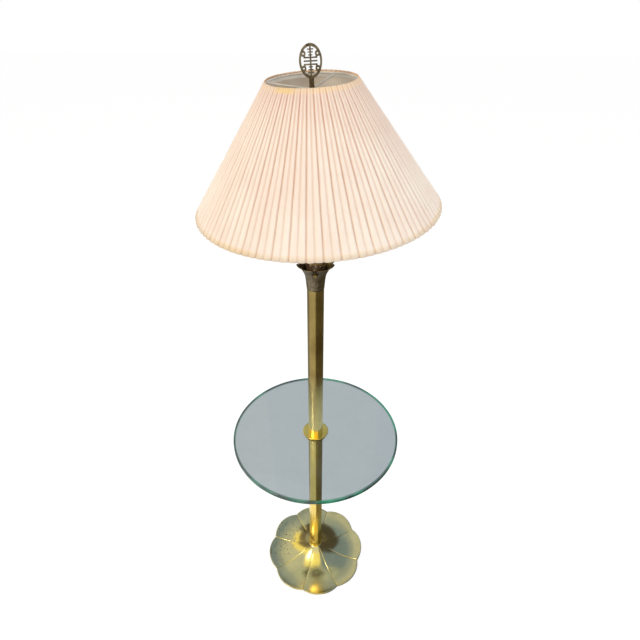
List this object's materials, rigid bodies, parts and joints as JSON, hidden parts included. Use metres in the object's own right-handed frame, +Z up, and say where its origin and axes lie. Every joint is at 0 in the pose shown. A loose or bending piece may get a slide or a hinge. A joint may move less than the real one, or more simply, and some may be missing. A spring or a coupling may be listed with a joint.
{
  "type": "floor lamp with table",
  "caption": "Floor lamp with a round glass table on its brass column, a petal-shaped foot, a leaf capital with a rotary switch, and a pleated cone shade under an openwork finial",
  "frame": {"origin": "middle of the foot, on the floor that the felt rests on", "axes": "+Z up along the column; the switch knob looks along -Y; +X to the right of it"},
  "size_m": [0.4554, 0.4557, 1.4381],
  "materials": {
    "brass_dish": "polished, lightly tarnished",
    "brass_tube": "polished",
    "brass_fitting": "turned and polished",
    "bronze": "dark antique patina",
    "copper_bronze": "aged copper brown",
    "steel": "zinc plated",
    "cast_iron": "painted casting",
    "felt": "pressed felt",
    "rubber": "moulded",
    "table_glass": "clear float glass, polished edge",
    "bulb_glass": "frosted",
    "aluminium": "rolled thread",
    "phenolic": "moulded",
    "card": "pressed card",
    "harp_metal": "brass plated wire",
    "pale_wire": "white-grey enamel",
    "liner": "translucent sheet",
    "pleat_cloth": "fine pleated weave",
    "tape": "woven tape"
  },
  "bodies": {
    "lamp": {"base_felt": "felt", "base_weight": "cast_iron", "cord_bushing": "rubber", "base_washer": "steel", "base_nut": "steel", "base_spacer": "steel", "base_dish": "brass_dish", "column_foot": "brass_fitting", "lower_tube": "brass_tube", "upper_tube": "brass_tube", "tube_plug": "steel", "lower_pipe": "steel", "upper_pipe": "steel", "pipe_coupler": "steel", "table_flange": "brass_fitting", "lower_gasket": "rubber", "glass_top": "table_glass", "glass_bushing": "rubber", "upper_gasket": "rubber", "table_collar": "brass_fitting", "capital_leaves": "bronze", "leaf_nut": "steel", "cup_nut": "steel", "switch_cup": "copper_bronze", "cup_lid": "copper_bronze", "switch_body": "phenolic", "switch_nut": "brass_fitting", "socket_cap": "brass_fitting", "socket_shell": "brass_fitting", "socket_liner": "card", "socket_body": "phenolic", "screw_shell": "brass_fitting", "centre_contact": "brass_fitting", "harp_saddle": "harp_metal", "harp_wire": "harp_metal", "harp_stud": "harp_metal"},
    "knob": {"switch_knob": "brass_fitting"},
    "bulb": {"bulb_base": "aluminium", "bulb_glass": "bulb_glass"},
    "sleeve_right": {"harp_sleeve_right": "harp_metal"},
    "sleeve_left": {"harp_sleeve_left": "harp_metal"},
    "shade": {"shade_spider": "pale_wire", "shade_bottom_ring": "pale_wire", "shade_liner": "liner", "shade_top_tape": "tape", "shade_bottom_tape": "tape", "shade_pleats": "pleat_cloth"},
    "finial": {"finial_neck": "bronze", "finial_medallion": "bronze"}
  },
  "joints": [
    {"name": "switch_turn", "type": "hinge", "parent": "lamp", "child": "knob", "pos_m": [0, -0.024, 1.033], "axis": [0, -1, 0], "continuous": true},
    {"name": "bulb_screw", "type": "hinge", "parent": "lamp", "child": "bulb", "pos_m": [0, 0, 1.0838], "axis": [0, 0, 1], "continuous": true},
    {"name": "sleeve_right_lift", "type": "slide", "parent": "lamp", "child": "sleeve_right", "axis": [-0.0169, -0.0357, 0.9992], "range_m": [0, 0.012]},
    {"name": "sleeve_left_lift", "type": "slide", "parent": "lamp", "child": "sleeve_left", "axis": [-0.0169, -0.0357, 0.9992], "range_m": [0, 0.012]},
    {"name": "shade_turn", "type": "hinge", "parent": "lamp", "child": "shade", "pos_m": [-0.0054, -0.01142, 1.37095], "axis": [-0.0515, -0.0338, 0.9981], "continuous": true},
    {"name": "finial_unscrew", "type": "hinge", "parent": "lamp", "child": "finial", "pos_m": [-0.0055, -0.01148, 1.37295], "axis": [-0.0515, -0.0338, 0.9981], "continuous": true}
  ]
}
